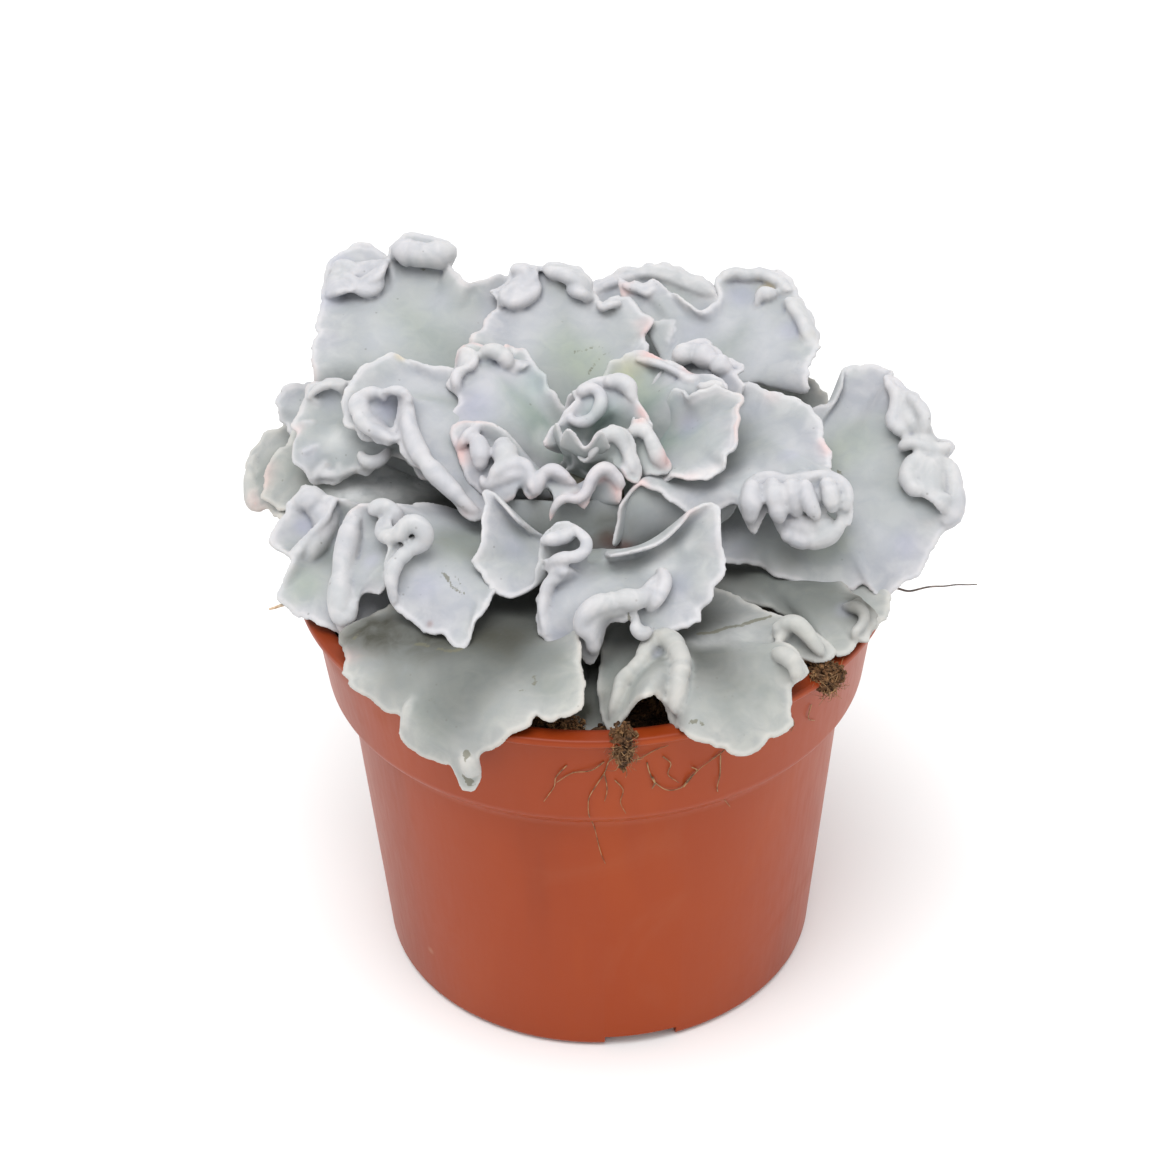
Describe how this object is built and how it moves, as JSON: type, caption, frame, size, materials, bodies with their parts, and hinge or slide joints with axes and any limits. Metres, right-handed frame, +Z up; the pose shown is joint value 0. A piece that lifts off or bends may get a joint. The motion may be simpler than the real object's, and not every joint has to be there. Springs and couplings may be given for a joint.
{
  "type": "potted succulent",
  "caption": "Rosette succulent with broad waxy blades, their margins waved and curled, growing in peat in a round plastic nursery pot.",
  "frame": {"origin": "middle of the pot's foot, on the surface it stands on", "axes": "+Z up along the pot's axis, -Y towards the side the picture shows, +X to that view's right"},
  "size_m": [0.1476, 0.1297, 0.1362],
  "materials": {
    "pot_plastic": "terracotta-coloured moulded plastic, faintly glossy",
    "peat": "damp dark brown peat crumbs with pale fibres",
    "stem_skin": "smooth corky stem skin, scarred where leaves fell",
    "leaf": "thick leaf with a powdery blue-grey wax bloom and pale margins",
    "dry_fibre": "dry tan plant fibre"
  },
  "bodies": {
    "root": {"pot": "pot_plastic", "soil": "peat", "stem": "stem_skin", "heart_leaf_front": "leaf", "heart_leaf_back": "leaf", "heart_leaf_right": "leaf", "leaf_back_right_heart": "leaf", "leaf_back_left_inner": "leaf", "leaf_right_inner": "leaf", "leaf_front_inner": "leaf", "leaf_left_inner": "leaf", "leaf_back_right_inner": "leaf", "leaf_back": "leaf", "leaf_right_upper": "leaf", "leaf_left_upper": "leaf", "leaf_front_upper": "leaf", "leaf_back_right": "leaf", "leaf_back_left": "leaf", "leaf_left_front": "leaf", "leaf_right_low": "leaf", "leaf_left_front_low": "leaf", "leaf_back_left_under": "leaf", "leaf_back_under": "leaf", "leaf_left_middle": "leaf", "leaf_front_left_low": "leaf", "leaf_right_front_low": "leaf", "leaf_back_right_under": "leaf", "leaf_under_2": "leaf", "leaf_left_low": "leaf", "leaf_under_3": "leaf", "leaf_front_right_low": "leaf", "leaf_right_under": "leaf", "leaf_under_1": "leaf", "leaf_front_under": "leaf", "heart_bud": "leaf", "peat_clump_left": "peat", "peat_clump_lip": "peat", "peat_clump_right": "peat", "stray_root": "dry_fibre", "dry_stalk": "dry_fibre"}
  },
  "joints": []
}
